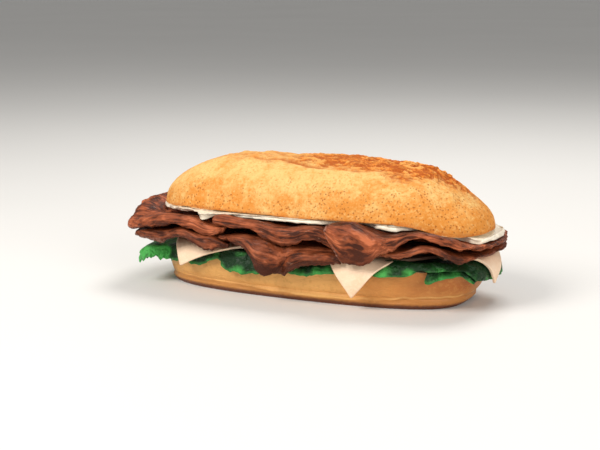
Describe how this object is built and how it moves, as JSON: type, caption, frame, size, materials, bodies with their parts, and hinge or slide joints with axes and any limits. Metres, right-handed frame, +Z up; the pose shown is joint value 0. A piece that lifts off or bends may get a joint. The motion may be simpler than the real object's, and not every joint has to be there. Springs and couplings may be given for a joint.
{
  "type": "submarine sandwich",
  "caption": "Whole soft roll cut through lengthways, filled with folded roast steak, white cheese, lettuce and mayonnaise that hang out along its sides.",
  "frame": {"origin": "on the table, under the middle of the sandwich's box", "axes": "+X along the roll, towards the end where the filling is pressed flatter; -Y is the front, from which the hanging corners of cheese show; +Z up"},
  "size_m": [0.1996, 0.092, 0.0708],
  "materials": {
    "golden_crust": "golden baked crust, speckled with brown, rough along the split top",
    "pale_crust": "pale tan baked crust, smooth, with a browned lower edge",
    "mayonnaise": "wet cream white sauce",
    "roast_steak": "moist browned meat with a fine grain",
    "white_cheese": "smooth satin cheese",
    "lettuce": "crisp ruffled leaf, slightly glossy"
  },
  "bodies": {
    "root": {"heel": "pale_crust", "crown": "golden_crust", "mayonnaise": "mayonnaise", "steak_inner": "roast_steak", "steak_left_upper": "roast_steak", "steak_left_lower": "roast_steak", "steak_middle_upper": "roast_steak", "steak_middle_lower": "roast_steak", "steak_right_upper": "roast_steak", "steak_right_lower": "roast_steak", "cheese_left": "white_cheese", "cheese_middle": "white_cheese", "cheese_right": "white_cheese", "lettuce_left": "lettuce", "lettuce_middle": "lettuce", "lettuce_right_upper": "lettuce", "lettuce_right_lower": "lettuce"}
  },
  "joints": []
}
